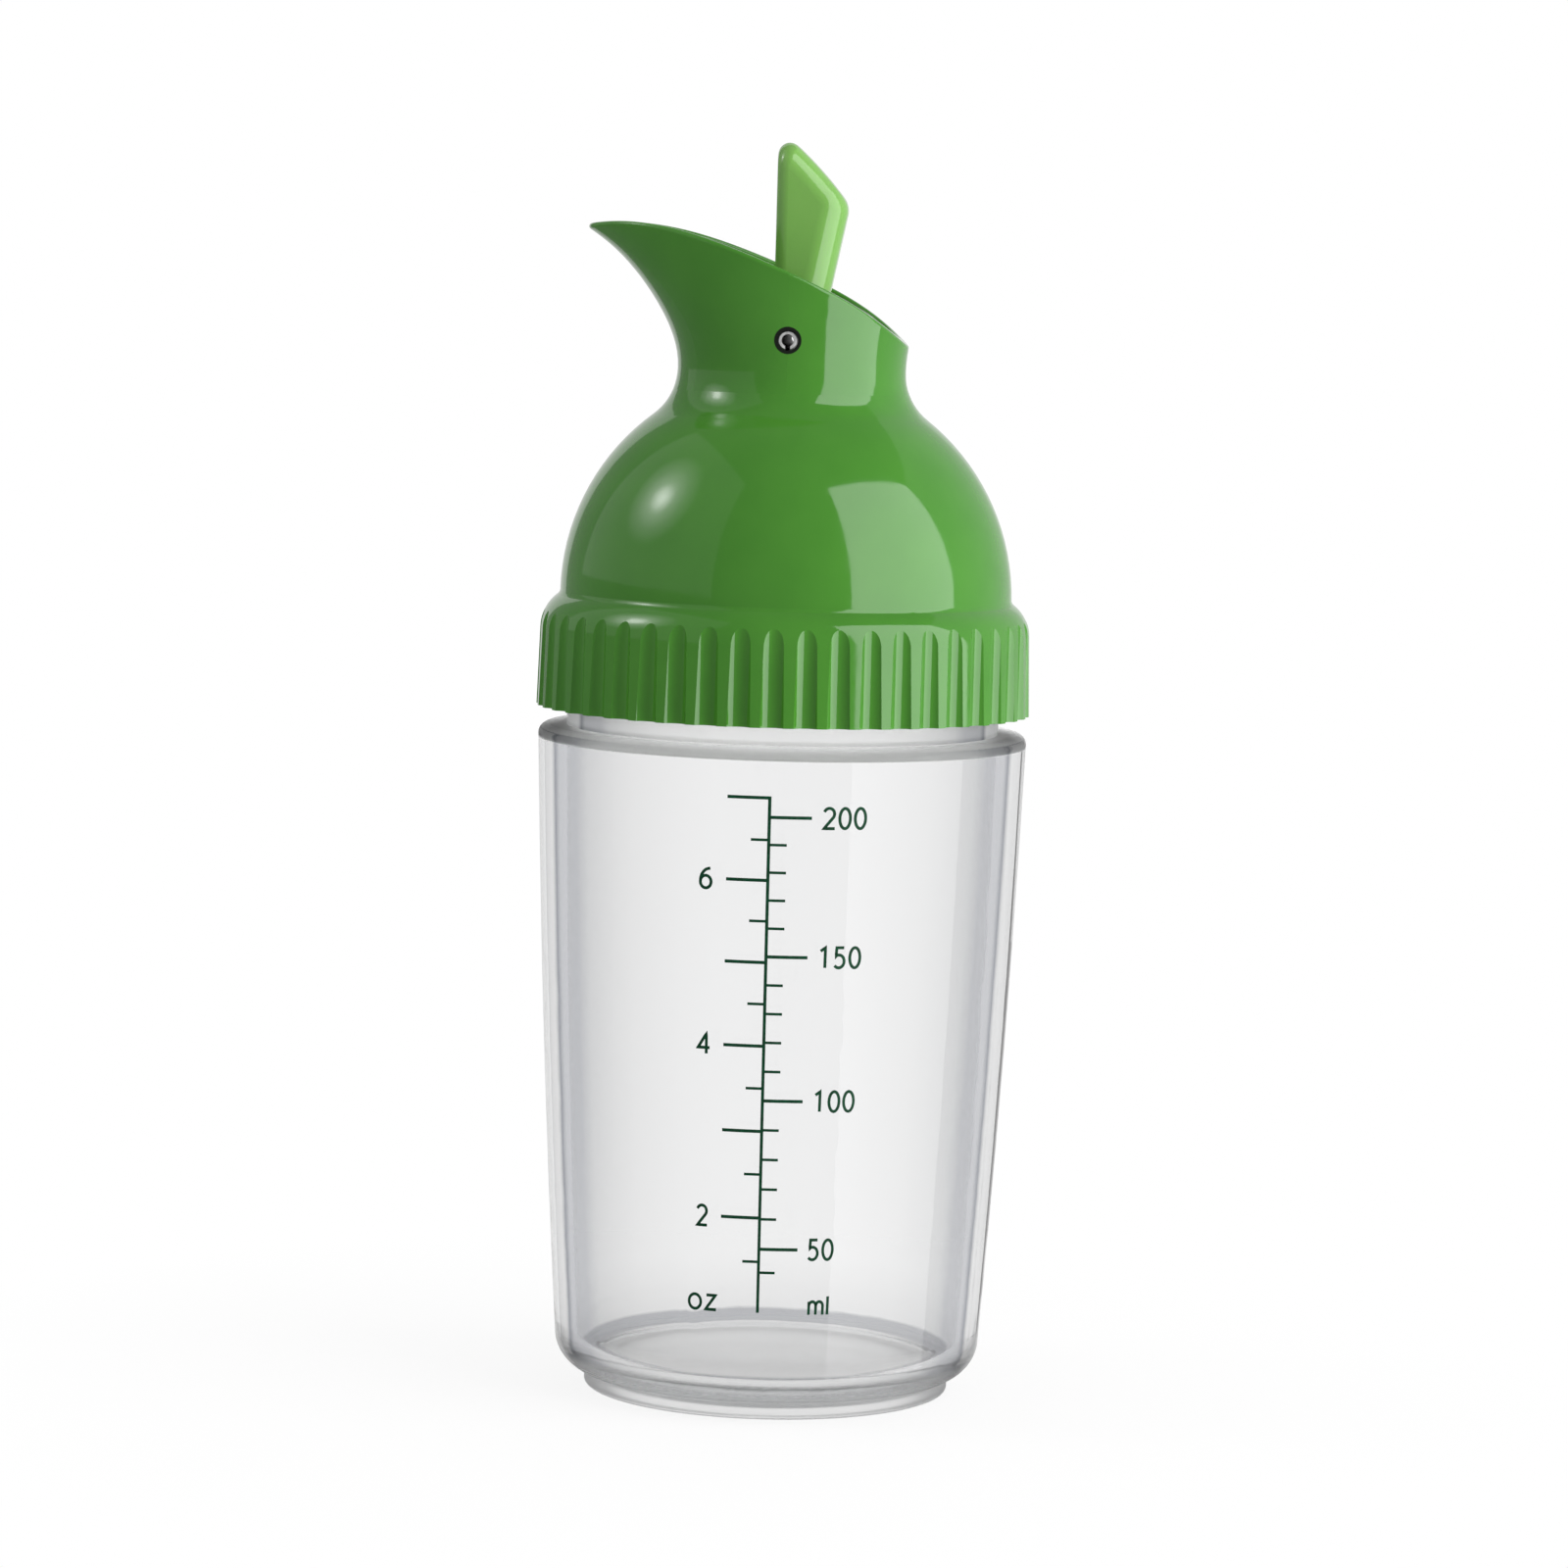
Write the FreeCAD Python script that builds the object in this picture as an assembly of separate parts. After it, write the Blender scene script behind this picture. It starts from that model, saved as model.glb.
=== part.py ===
import FreeCAD
import Part
import math
import os

# Dressing shaker: a clear tumbler, a screw cap with a beak spout, and a lever valve in the neck of the cap.
# Millimetres, +Z up, origin at the centre of the foot. The spout points along -X and the pin lies along Y.

# Tumbler
BODY_TOP_RADIUS = 34.2
BODY_TAPER = 4.55
BODY_BULGE = 0.45
SHOULDER_HEIGHT = 93.2
SHOULDER_LEDGE = 4.0
SHOULDER_ROUND = 1.4
WALL_AT_BASE = 3.0
WALL_AT_SHOULDER = 4.1
INNER_SHOULDER_DEPTH = 1.8
INNER_SHOULDER_RISE = 0.5
INNER_SHOULDER_ROUND = 0.5
NECK_WALL = 2.2
NECK_HEIGHT = 13.8
NECK_EDGE_ROUND = 0.5
FLOOR_THICKNESS = 2.6
FLOOR_CORNER_ROUND = 4.0
FOOT_HEIGHT = 2.2
FOOT_INSET = 4.0
FOOT_RING_WIDTH = 4.1
FOOT_RECESS_DEPTH = 1.0
FOOT_EDGE_ROUND = 0.6
UNDERSIDE_RISE = 1.4
BASE_CORNER_ROUND = 5.2

# Screw thread, the same on the neck and in the collar
THREAD_LEAD = 8.0
THREAD_STARTS = 2
THREAD_HEIGHT = 0.95
THREAD_ROOT_WIDTH = 1.9
THREAD_CREST_WIDTH = 0.9
THREAD_SINK = 0.25
THREAD_RADIAL_CLEARANCE = 0.35
THREAD_FLANK_CLEARANCE = 0.3
THREAD_END_MARGIN = 1.0

# Rim gasket
GASKET_THICKNESS = 2.0
GASKET_OVERHANG = 0.4
GASKET_CLEARANCE = 0.3
GASKET_EDGE_ROUND = 0.3

# Cap: collar, dome and throat
CAP_WALL = 2.0
COLLAR_WALL = 3.0
COLLAR_GAP = 2.7
COLLAR_DRAFT = 0.3
COLLAR_LEAD_IN = 0.6
COLLAR_SHOULDER_RISE = 4.9
COLLAR_CREASE_ROUND = 0.8
GROOVE_COUNT = 48
GROOVE_RADIUS = 1.9
GROOVE_DEPTH = 0.9
DOME_INSET = 2.95
DOME_COVER = 2.5
DOME_CENTRE_RISE = 0.1
THROAT_RADIUS = 15.9
THROAT_RISE = 4.35

# Spout: height of the pin above the throat, radius of the nose at the top, and the level sections.
# Each section has its height above the throat, and the reach of its front and the flare of its sides
# beyond the throat radius.
PIN_RISE = 4.3
SPOUT_BLEND_DROP = 3.0
SPOUT_NOSE_RADIUS = 3.9
SPOUT_SECTIONS = [
    (PIN_RISE, 0.75, 0.40),
    (8.0, 2.50, 0.85),
    (12.5, 5.60, 1.20),
    (16.2, 9.10, 1.45),
    (19.0, 12.90, 1.60),
    (20.6, 15.40, 1.68),
]
# Rim of the spout seen from the side: distance from the axis along X and height above the throat
RIM_POINTS = [
    (-36.0, 17.7),
    (-29.3, 19.5),
    (-23.4, 20.0),
    (-12.5, 18.2),
    (-1.5, 14.2),
    (11.0, 7.9),
    (16.4, 3.5),
    (24.0, -5.0),
]
RIM_EDGE_ROUND = 0.45
# The round takes at most this share of the wall
RIM_ROUND_SHARE = 0.24

# Hinge pin
PIN_RADIUS = 1.4
PIN_WALL = 0.6
PIN_SLOT = 0.7
PIN_CHAMFER = 0.2
PIN_RECESS = 0.2
PIN_MOUTH_GAP = 0.4
PIN_MOUTH_DEPTH = 0.6
PIVOT_BOSS_WALL = 1.3
PIVOT_BOSS_GAP = 0.3

# Valve in the throat
SEAT_INSET = 0.45
SEAT_MARGIN = 0.5
SEAL_CLEARANCE = 0.1
SEAL_THICKNESS = 1.6
SEAL_WIDTH = 2.6
SEAL_LIP = 1.0
RETAINER_THICKNESS = 1.2
RETAINER_SWING_CLEARANCE = 0.5

# Lever
HUB_WALL = 1.6
HUB_BORE_CLEARANCE = 0.06
HUB_END_CLEARANCE = 1.4
FLANGE_THICKNESS = 1.6
FLANGE_COVER = 0.3
POST_RADIUS = 2.4
POST_BARB = 0.5
POST_BARB_HEIGHT = 1.0
POST_SLOT = 0.8
TAB_WIDTH = 11.0
TAB_FRONT = 2.55
TAB_TIP_HEIGHT = 28.9
TAB_REAR = 7.5
TAB_REAR_HEIGHT = 18.6
TAB_ROOT_REAR = 4.4
TAB_ROOT_HEIGHT = 3.0
TAB_TOP_CROWN = 0.5
TAB_REAR_ROUND = 3.9
TAB_TIP_ROUND = 1.6
TAB_EDGE_ROUND = 3.0

# Radii that follow from the sizes above
BODY_BASE_RADIUS = BODY_TOP_RADIUS - BODY_TAPER
FOOT_RADIUS = BODY_BASE_RADIUS - FOOT_INSET
NECK_RADIUS = BODY_TOP_RADIUS - SHOULDER_LEDGE
MOUTH_RADIUS = NECK_RADIUS - NECK_WALL
BORE_RADIUS = NECK_RADIUS + THREAD_HEIGHT + THREAD_RADIAL_CLEARANCE
COLLAR_RADIUS = BORE_RADIUS + COLLAR_WALL
DOME_RADIUS = COLLAR_RADIUS - DOME_INSET
PIN_SIDE_RADIUS = THROAT_RADIUS + SPOUT_SECTIONS[0][2]
HUB_RADIUS = PIN_RADIUS + HUB_BORE_CLEARANCE + HUB_WALL
HUB_HALF_LENGTH = PIN_SIDE_RADIUS - CAP_WALL - HUB_END_CLEARANCE

# Offsets of the nose and the flanks of a spout section for each unit of lead, so that the arcs are tangent
TOP_REACH, TOP_FLARE = SPOUT_SECTIONS[-1][1:]
NOSE_SHARE = (THROAT_RADIUS + TOP_REACH - SPOUT_NOSE_RADIUS) / (TOP_REACH - TOP_FLARE)
FLANK_SHARE = (2 * NOSE_SHARE - 1) / (2 * (NOSE_SHARE - 1))

# Heights that follow from the sizes above
FLOOR_Z = FOOT_HEIGHT + FLOOR_THICKNESS
RIM_Z = SHOULDER_HEIGHT + NECK_HEIGHT
LEDGE_Z = RIM_Z + GASKET_THICKNESS
COLLAR_Z = SHOULDER_HEIGHT + COLLAR_GAP
DOME_BASE_Z = LEDGE_Z + DOME_COVER
COLLAR_TOP_Z = DOME_BASE_Z - COLLAR_SHOULDER_RISE
DOME_CENTRE_Z = DOME_BASE_Z + DOME_CENTRE_RISE
# The throat starts its rise at the height where it would pierce the dome
THROAT_Z = DOME_CENTRE_Z + math.sqrt(DOME_RADIUS ** 2 - THROAT_RADIUS ** 2) + THROAT_RISE
PIN_Z = THROAT_Z + PIN_RISE
THREAD_BASE_Z = COLLAR_Z + THREAD_END_MARGIN + THREAD_ROOT_WIDTH / 2
THREAD_RISE = RIM_Z - THREAD_END_MARGIN - THREAD_ROOT_WIDTH / 2 - THREAD_BASE_Z

# Distances below the pin, and radii about the pin, of the parts of the valve
SEAL_TOP_DROP = HUB_RADIUS + FLANGE_COVER
FLANGE_TOP_DROP = SEAL_TOP_DROP - FLANGE_THICKNESS
SEAL_BOTTOM_DROP = SEAL_TOP_DROP + SEAL_THICKNESS
RETAINER_BOTTOM_DROP = SEAL_BOTTOM_DROP + RETAINER_THICKNESS
SEAT_TOP_DROP = SEAL_TOP_DROP - SEAT_MARGIN
SEAT_BOTTOM_DROP = SEAL_BOTTOM_DROP + SEAT_MARGIN
SEAT_RADIUS = math.hypot(THROAT_RADIUS - CAP_WALL - SEAT_INSET, SEAT_TOP_DROP)
SEAL_RADIUS = SEAT_RADIUS - SEAL_CLEARANCE

AXIS = FreeCAD.Vector(0, 0, 1)
ACROSS = FreeCAD.Vector(0, 1, 0)
TOLERANCE = 1e-4
# Cutting tools reach this far past what they cut
OVERCUT = 2.0


def point(radius, z):
    """A point of a side profile, in the XZ plane."""
    return FreeCAD.Vector(radius, 0, z)


def profile_edges(start, moves):
    """Edges from start through moves: a point is a straight run, and a pair of points is an arc."""
    edges = []
    here = start
    for move in moves:
        if isinstance(move, tuple):
            edges.append(Part.Arc(here, move[0], move[1]).toShape())
            here = move[1]
        else:
            edges.append(Part.LineSegment(here, move).toShape())
            here = move
    return edges


def turned(start, *moves):
    """Solid of revolution about Z of the closed side profile that runs through moves."""
    face = Part.Face(Part.Wire(profile_edges(start, moves + (start,))))
    return face.revolve(FreeCAD.Vector(), AXIS, 360)


def rounded(shape, radius, *rings):
    """Shape with ring edges about Z rounded; each ring is given by its point of the side profile."""
    edges = []
    for edge in shape.Edges:
        start = edge.firstVertex().Point
        here = point(math.hypot(start.x, start.y), start.z)
        if edge.isClosed() and any(here.distanceToPoint(ring) < TOLERANCE for ring in rings):
            edges.append(edge)
    return shape.makeFillet(radius, edges)


def side_edges(shape, first, second):
    """Edges whose two ends, seen from the side, lie at first and second."""
    found = []
    for edge in shape.Edges:
        ends = [point(vertex.X, vertex.Z) for vertex in edge.Vertexes]
        for one, other in ((first, second), (second, first)):
            if ends[0].distanceToPoint(one) < TOLERANCE and ends[-1].distanceToPoint(other) < TOLERANCE:
                found.append(edge)
                break
    return found


def arc_middle(centre, start, end):
    """Middle point of the shorter arc about centre from start to end."""
    towards = (start - centre).normalize() + (end - centre).normalize()
    return centre + towards.normalize() * start.distanceToPoint(centre)


def on_sphere(radius, drop):
    """Side-profile point of a sphere about the middle of the pin, at a distance below the pin."""
    return point(math.sqrt(radius ** 2 - drop ** 2), PIN_Z - drop)


def across(radius, half_length):
    """Cylinder along Y about the pin axis, centred on the axis of the bottle."""
    return Part.makeCylinder(radius, 2 * half_length, FreeCAD.Vector(0, -half_length, PIN_Z), ACROSS)


def disc(radius, top_drop, bottom_drop):
    """Upright cylinder between two distances below the pin."""
    foot = FreeCAD.Vector(0, 0, PIN_Z - bottom_drop)
    return Part.makeCylinder(radius, bottom_drop - top_drop, foot, AXIS)


def thread(root_radius, direction, base_angle):
    """Thread ridges on a cylinder; direction is 1 for an outside thread and -1 for an inside one."""
    flank = (THREAD_ROOT_WIDTH - THREAD_CREST_WIDTH) / 2 / THREAD_HEIGHT
    foot = root_radius - direction * THREAD_SINK
    half_foot = THREAD_ROOT_WIDTH / 2 + flank * THREAD_SINK
    crest = root_radius + direction * THREAD_HEIGHT
    half_crest = THREAD_CREST_WIDTH / 2
    lower = [point(foot, -half_foot), point(crest, -half_crest)]
    upper = [point(crest, half_crest), point(foot, half_foot)]
    section = Part.makePolygon(lower + upper + lower[:1])
    path = Part.makeHelix(THREAD_LEAD, THREAD_RISE, root_radius)
    ridge = path.makePipeShell([section], True, True)
    ridge.translate(AXIS * THREAD_BASE_Z)
    ridges = []
    for start in range(THREAD_STARTS):
        copy = ridge.copy()
        copy.rotate(FreeCAD.Vector(), AXIS, base_angle + 360 * start / THREAD_STARTS)
        ridges.append(copy)
    return ridges


def make_tumbler():
    """Clear body with a stepped foot, a heavy wall and a threaded neck."""
    foot_recess = FOOT_RADIUS - FOOT_RING_WIDTH
    foot_edge = point(FOOT_RADIUS, 0)
    base_corner = point(BODY_BASE_RADIUS, FOOT_HEIGHT + UNDERSIDE_RISE)
    shoulder = point(BODY_TOP_RADIUS, SHOULDER_HEIGHT)
    wall_middle = (base_corner + shoulder) * 0.5 + point(BODY_BULGE, 0)
    inner_base = point(BODY_BASE_RADIUS - WALL_AT_BASE, FLOOR_Z)
    inner_top = point(BODY_TOP_RADIUS - WALL_AT_SHOULDER, SHOULDER_HEIGHT - INNER_SHOULDER_DEPTH)
    inner_middle = (inner_base + inner_top) * 0.5 + point(BODY_BULGE, 0)
    mouth_bottom = point(MOUTH_RADIUS, inner_top.z + INNER_SHOULDER_RISE)
    rim_outside = point(NECK_RADIUS, RIM_Z)
    rim_inside = point(MOUTH_RADIUS, RIM_Z)
    body = turned(
        point(0, FOOT_RECESS_DEPTH),
        point(foot_recess, FOOT_RECESS_DEPTH),
        point(foot_recess, 0),
        foot_edge,
        point(FOOT_RADIUS, FOOT_HEIGHT),
        base_corner,
        (wall_middle, shoulder),
        point(NECK_RADIUS, SHOULDER_HEIGHT),
        rim_outside,
        rim_inside,
        mouth_bottom,
        inner_top,
        (inner_middle, inner_base),
        point(0, FLOOR_Z),
    )
    body = rounded(body, BASE_CORNER_ROUND, base_corner)
    body = rounded(body, FLOOR_CORNER_ROUND, inner_base)
    body = rounded(body, SHOULDER_ROUND, shoulder)
    body = rounded(body, INNER_SHOULDER_ROUND, inner_top, mouth_bottom)
    body = rounded(body, FOOT_EDGE_ROUND, foot_edge)
    body = rounded(body, NECK_EDGE_ROUND, rim_outside, rim_inside)
    return body.fuse(thread(NECK_RADIUS, 1, 0))


def make_rim_gasket():
    """Flat silicone ring between the rim of the tumbler and the ledge in the cap."""
    inner = MOUTH_RADIUS - GASKET_OVERHANG
    outer = BORE_RADIUS - GASKET_CLEARANCE
    corners = [point(inner, RIM_Z), point(outer, RIM_Z), point(outer, LEDGE_Z), point(inner, LEDGE_Z)]
    return rounded(turned(*corners), GASKET_EDGE_ROUND, *corners)


def throat_fillet():
    """Centre and radius of the hollow round, in the side profile, from the dome to the throat."""
    span = THROAT_RADIUS ** 2 + (THROAT_Z - DOME_CENTRE_Z) ** 2 - DOME_RADIUS ** 2
    radius = span / (2 * (DOME_RADIUS - THROAT_RADIUS))
    return point(THROAT_RADIUS + radius, THROAT_Z), radius


def blend_point(wall):
    """Point of the throat fillet, inset by wall, where the spout starts."""
    centre, radius = throat_fillet()
    reach = math.sqrt((radius + wall) ** 2 - SPOUT_BLEND_DROP ** 2)
    return point(centre.x - reach, THROAT_Z - SPOUT_BLEND_DROP)


def dome_profile(base_z, wall):
    """Dome and throat, inset by wall: the base point, then the moves up to the spout and to the axis."""
    sphere = point(0, DOME_CENTRE_Z)
    fillet = throat_fillet()[0]
    inset_radius = DOME_RADIUS - wall
    base = point(math.sqrt(inset_radius ** 2 - (base_z - DOME_CENTRE_Z) ** 2), base_z)
    join = sphere + (fillet - sphere).normalize() * inset_radius
    top = blend_point(wall)
    dome = (arc_middle(sphere, base, join), join)
    throat = (arc_middle(fillet, join, top), top)
    return base, [dome, throat, point(0, top.z)]


def arc_on_circle(centre, radius, start_angle, end_angle):
    """Level arc between two angles about centre."""
    turns = (start_angle, (start_angle + end_angle) / 2, end_angle)
    marks = [centre + FreeCAD.Vector(math.cos(turn), math.sin(turn), 0) * radius for turn in turns]
    return Part.Arc(*marks).toShape()


def egg_wire(z, front, side, wall):
    """Level section of the spout, inset by wall: a round back, two flanks and a nose, all tangent arcs.

    The nose and the flanks move out with the lead, which is how far the front reaches beyond the sides.
    """
    lead = front - side
    nose_reach = NOSE_SHARE * lead
    flank_offset = FLANK_SHARE * lead
    middle = FreeCAD.Vector(0, 0, z)
    nose = FreeCAD.Vector(-nose_reach, 0, z)
    left_flank = FreeCAD.Vector(0, -flank_offset, z)
    right_flank = FreeCAD.Vector(0, flank_offset, z)
    back = side - wall
    flank = back + flank_offset
    tip = front - nose_reach - wall
    side_turn = math.pi / 2
    join_turn = math.pi - math.atan2(FLANK_SHARE, NOSE_SHARE)
    arcs = [
        arc_on_circle(middle, back, 0, side_turn),
        arc_on_circle(left_flank, flank, side_turn, join_turn),
        arc_on_circle(nose, tip, join_turn, math.pi),
        arc_on_circle(nose, tip, -math.pi, -join_turn),
        arc_on_circle(right_flank, flank, -join_turn, -side_turn),
        arc_on_circle(middle, back, -side_turn, 0),
    ]
    return Part.Wire(arcs)


def spout(wall):
    """Solid spout from the throat blend to above the rim, with its level sections inset by wall."""
    blend = blend_point(wall)
    blend_radius = blend.x + wall
    wires = [egg_wire(blend.z, blend_radius, blend_radius, wall)]
    wires.append(egg_wire(THROAT_Z, THROAT_RADIUS, THROAT_RADIUS, wall))
    for rise, reach, flare in SPOUT_SECTIONS:
        wires.append(egg_wire(THROAT_Z + rise, THROAT_RADIUS + reach, THROAT_RADIUS + flare, wall))
    return Part.makeLoft(wires, True)


def above_rim():
    """Block above the curved rim of the spout."""
    points = [point(x, THROAT_Z + rise) for x, rise in RIM_POINTS]
    curve = Part.BSplineCurve()
    curve.interpolate(points)
    top = THROAT_Z + SPOUT_SECTIONS[-1][0] + OVERCUT
    front = point(points[0].x, top)
    back = point(points[-1].x, top)
    edges = [curve.toShape()] + profile_edges(points[-1], [back, front, points[0]])
    block = Part.Face(Part.Wire(edges)).extrude(ACROSS * 2 * COLLAR_RADIUS)
    block.translate(-ACROSS * COLLAR_RADIUS)
    return block


def rim_rounded(shell):
    """Shell with the two edges of its pouring rim rounded."""
    rim = [face for face in shell.Faces if isinstance(face.Surface, Part.SurfaceOfExtrusion)]
    radius = min(RIM_EDGE_ROUND, RIM_ROUND_SHARE * CAP_WALL)
    return shell.makeFillet(radius, [edge for face in rim for edge in face.Edges])


def valve_seat():
    """Ring in the throat with a spherical face about the pin, so that the valve turns clear of it."""
    top = on_sphere(SEAT_RADIUS, SEAT_TOP_DROP)
    bottom = on_sphere(SEAT_RADIUS, SEAT_BOTTOM_DROP)
    root = THROAT_RADIUS - CAP_WALL / 2
    under = point(root, bottom.z - (root - bottom.x))
    return turned(top, (arc_middle(point(0, PIN_Z), top, bottom), bottom), under, point(root, top.z))


def pivot_bosses():
    """Bosses on the inside of the neck that carry the pin and keep the hub in the middle."""
    radius = PIN_RADIUS + PIVOT_BOSS_WALL
    bosses = across(radius, PIN_SIDE_RADIUS - CAP_WALL / 2)
    return bosses.cut(across(radius + OVERCUT, HUB_HALF_LENGTH + PIVOT_BOSS_GAP))


def pin_hole():
    """Cross hole for the pin, with a wider mouth on each side of the neck."""
    half_length = PIN_SIDE_RADIUS + OVERCUT
    mouth_radius = PIN_RADIUS + PIN_MOUTH_GAP
    mouth = across(mouth_radius, half_length)
    mouth = mouth.cut(across(mouth_radius + OVERCUT, PIN_SIDE_RADIUS - PIN_MOUTH_DEPTH))
    return across(PIN_RADIUS, half_length).fuse(mouth)


def collar_grooves():
    """Upright round grooves that run out on the shoulder of the collar."""
    centre = COLLAR_RADIUS - GROOVE_DEPTH + GROOVE_RADIUS
    height = DOME_BASE_Z - COLLAR_Z + OVERCUT
    grooves = []
    for index in range(GROOVE_COUNT):
        angle = 2 * math.pi * index / GROOVE_COUNT
        foot = FreeCAD.Vector(centre * math.cos(angle), centre * math.sin(angle), COLLAR_Z - OVERCUT)
        grooves.append(Part.makeCylinder(GROOVE_RADIUS, height, foot, AXIS))
    return grooves


def collar_thread():
    """Inside thread of the collar, turned on along its helix until it lies just under the neck's."""
    flank = (THREAD_ROOT_WIDTH - THREAD_CREST_WIDTH) / 2 / THREAD_HEIGHT
    overlap = THREAD_HEIGHT - THREAD_RADIAL_CLEARANCE
    drop = THREAD_CREST_WIDTH + flank * overlap + THREAD_FLANK_CLEARANCE
    return thread(BORE_RADIUS, -1, 360 * drop / THREAD_LEAD)


def cap_outside():
    """Solid outer form of the collar and the dome, up to the start of the spout."""
    dome_base, dome = dome_profile(DOME_BASE_Z, 0)
    collar_top = point(COLLAR_RADIUS - COLLAR_DRAFT, COLLAR_TOP_Z)
    inset = collar_top.x - dome_base.x
    shoulder_radius = (inset ** 2 + COLLAR_SHOULDER_RISE ** 2) / (2 * inset)
    shoulder_centre = point(collar_top.x - shoulder_radius, COLLAR_TOP_Z)
    shoulder = (arc_middle(shoulder_centre, collar_top, dome_base), dome_base)
    form = turned(point(0, COLLAR_Z), point(COLLAR_RADIUS, COLLAR_Z), collar_top, shoulder, *dome)
    return rounded(form, COLLAR_CREASE_ROUND, dome_base)


def cap_inside():
    """Solid form of the hollow of the collar and the dome, up to the start of the spout."""
    ledge, dome = dome_profile(LEDGE_Z, CAP_WALL)
    entry = BORE_RADIUS + COLLAR_LEAD_IN
    return turned(
        point(0, COLLAR_Z - OVERCUT),
        point(entry, COLLAR_Z - OVERCUT),
        point(entry, COLLAR_Z),
        point(BORE_RADIUS, COLLAR_Z + COLLAR_LEAD_IN),
        point(BORE_RADIUS, LEDGE_Z),
        ledge,
        *dome,
    )


def make_cap():
    """Grooved collar, dome, throat and beak spout in one hollow moulding with an inside thread."""
    shell = cap_outside().fuse(spout(0)).cut(cap_inside().fuse(spout(CAP_WALL)))
    shell = rim_rounded(shell.cut(above_rim()))
    shell = shell.fuse([valve_seat(), pivot_bosses()] + collar_thread())
    return shell.cut(collar_grooves() + [pin_hole()])


def make_hinge_pin():
    """Rolled spring pin with a slot along its lower side and chamfered ends."""
    half_length = PIN_SIDE_RADIUS - PIN_RECESS
    pin = across(PIN_RADIUS, half_length)
    pin = pin.makeChamfer(PIN_CHAMFER, [edge for edge in pin.Edges if edge.isClosed()])
    slot_corner = FreeCAD.Vector(-PIN_SLOT / 2, -half_length - OVERCUT, PIN_Z - PIN_RADIUS - OVERCUT)
    slot = Part.makeBox(PIN_SLOT, 2 * (half_length + OVERCUT), PIN_RADIUS + OVERCUT, slot_corner)
    return pin.cut([across(PIN_RADIUS - PIN_WALL, half_length + OVERCUT), slot])


def lever_tab():
    """Thumb tab: flat front, well-rounded back and a slanted, slightly crowned top."""
    foot_z = PIN_Z - FLANGE_TOP_DROP - FLANGE_THICKNESS / 2
    front_foot = point(-TAB_FRONT, foot_z)
    rear_foot = point(TAB_ROOT_REAR, foot_z)
    tip = point(-TAB_FRONT, PIN_Z + TAB_TIP_HEIGHT)
    rear = point(TAB_REAR, PIN_Z + TAB_REAR_HEIGHT)
    root = point(TAB_ROOT_REAR, PIN_Z + TAB_ROOT_HEIGHT)
    outwards = point(tip.z - rear.z, rear.x - tip.x).normalize()
    crown = (tip + rear) * 0.5 + outwards * TAB_TOP_CROWN
    edges = profile_edges(front_foot, [tip, (crown, rear), root, rear_foot, front_foot])
    tab = Part.Face(Part.Wire(edges)).extrude(ACROSS * TAB_WIDTH)
    tab.translate(-ACROSS * TAB_WIDTH / 2)
    tab = tab.makeFillet(TAB_REAR_ROUND, side_edges(tab, rear, root) + side_edges(tab, root, rear_foot))
    crown_mark = Part.Vertex(crown)
    top = [face for face in tab.Faces if face.distToShape(crown_mark)[0] < TOLERANCE][0]
    tab = tab.makeFillet(TAB_EDGE_ROUND, [edge for edge in top.Edges if abs(edge.CenterOfMass.y) > TOLERANCE])
    front = [face for face in tab.Faces if abs(face.CenterOfMass.x + TAB_FRONT) < TOLERANCE][0]
    sharp = [edge for edge in front.Edges if edge.CenterOfMass.z > foot_z + TOLERANCE]
    return tab.makeFillet(TAB_TIP_ROUND, sharp)


def lever_post():
    """Slotted snap post under the flange that holds the retainer."""
    post = disc(POST_RADIUS, FLANGE_TOP_DROP, RETAINER_BOTTOM_DROP)
    barb_foot = FreeCAD.Vector(0, 0, PIN_Z - RETAINER_BOTTOM_DROP - POST_BARB_HEIGHT)
    barb_radius = POST_RADIUS + POST_BARB
    barb = Part.makeCone(POST_RADIUS - POST_BARB, barb_radius, POST_BARB_HEIGHT, barb_foot, AXIS)
    depth = RETAINER_BOTTOM_DROP + POST_BARB_HEIGHT - SEAL_TOP_DROP
    slot_corner = FreeCAD.Vector(-POST_SLOT / 2, -barb_radius, barb_foot.z)
    return post.fuse(barb).cut(Part.makeBox(POST_SLOT, 2 * barb_radius, depth, slot_corner))


def make_lever():
    """Thumb tab, hub on the pin, valve flange and snap post in one moulding."""
    hub = across(HUB_RADIUS, HUB_HALF_LENGTH)
    flange_radius = on_sphere(SEAL_RADIUS, SEAL_TOP_DROP).x - SEAL_LIP
    flange = disc(flange_radius, FLANGE_TOP_DROP, SEAL_TOP_DROP)
    lever = lever_tab().fuse([hub, flange, lever_post()])
    return lever.cut(across(PIN_RADIUS + HUB_BORE_CLEARANCE, HUB_HALF_LENGTH + OVERCUT))


def seal_bore():
    """Radius of the hole in the valve seal, and of the spigot in it."""
    return on_sphere(SEAL_RADIUS, SEAL_TOP_DROP).x - SEAL_WIDTH


def make_valve_seal():
    """Silicone ring with a spherical rim about the pin, a clearance inside the seat."""
    top = on_sphere(SEAL_RADIUS, SEAL_TOP_DROP)
    bottom = on_sphere(SEAL_RADIUS, SEAL_BOTTOM_DROP)
    rim = (arc_middle(point(0, PIN_Z), top, bottom), bottom)
    return turned(top, rim, point(seal_bore(), bottom.z), point(seal_bore(), top.z))


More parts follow.
